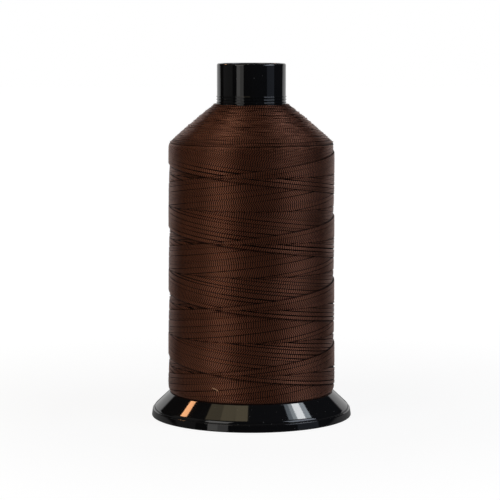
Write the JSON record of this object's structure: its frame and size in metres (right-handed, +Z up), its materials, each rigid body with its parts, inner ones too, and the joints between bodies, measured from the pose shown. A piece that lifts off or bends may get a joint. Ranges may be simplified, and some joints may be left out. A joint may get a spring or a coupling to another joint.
{
  "type": "waxed thread spool",
  "caption": "Tall spool of waxed thread: cross-wound package with a conical shoulder, on a hollow barrel with a bare ringed neck and a flared foot.",
  "frame": {"origin": "centre of the foot's rim, in the plane that the spool stands on", "axes": "+Z up along the spool's own axis; X and Y are level, and the seen side faces -Y"},
  "size_m": [0.102, 0.102, 0.179],
  "materials": {
    "black_plastic": "glossy black moulded polypropylene",
    "waxed_thread": "dark brown twisted thread with a satin wax sheen"
  },
  "bodies": {
    "root": {"spool_tube": "black_plastic", "base_foot": "black_plastic", "thread_inner_layers": "waxed_thread", "thread_outer_layer": "waxed_thread"}
  },
  "joints": []
}
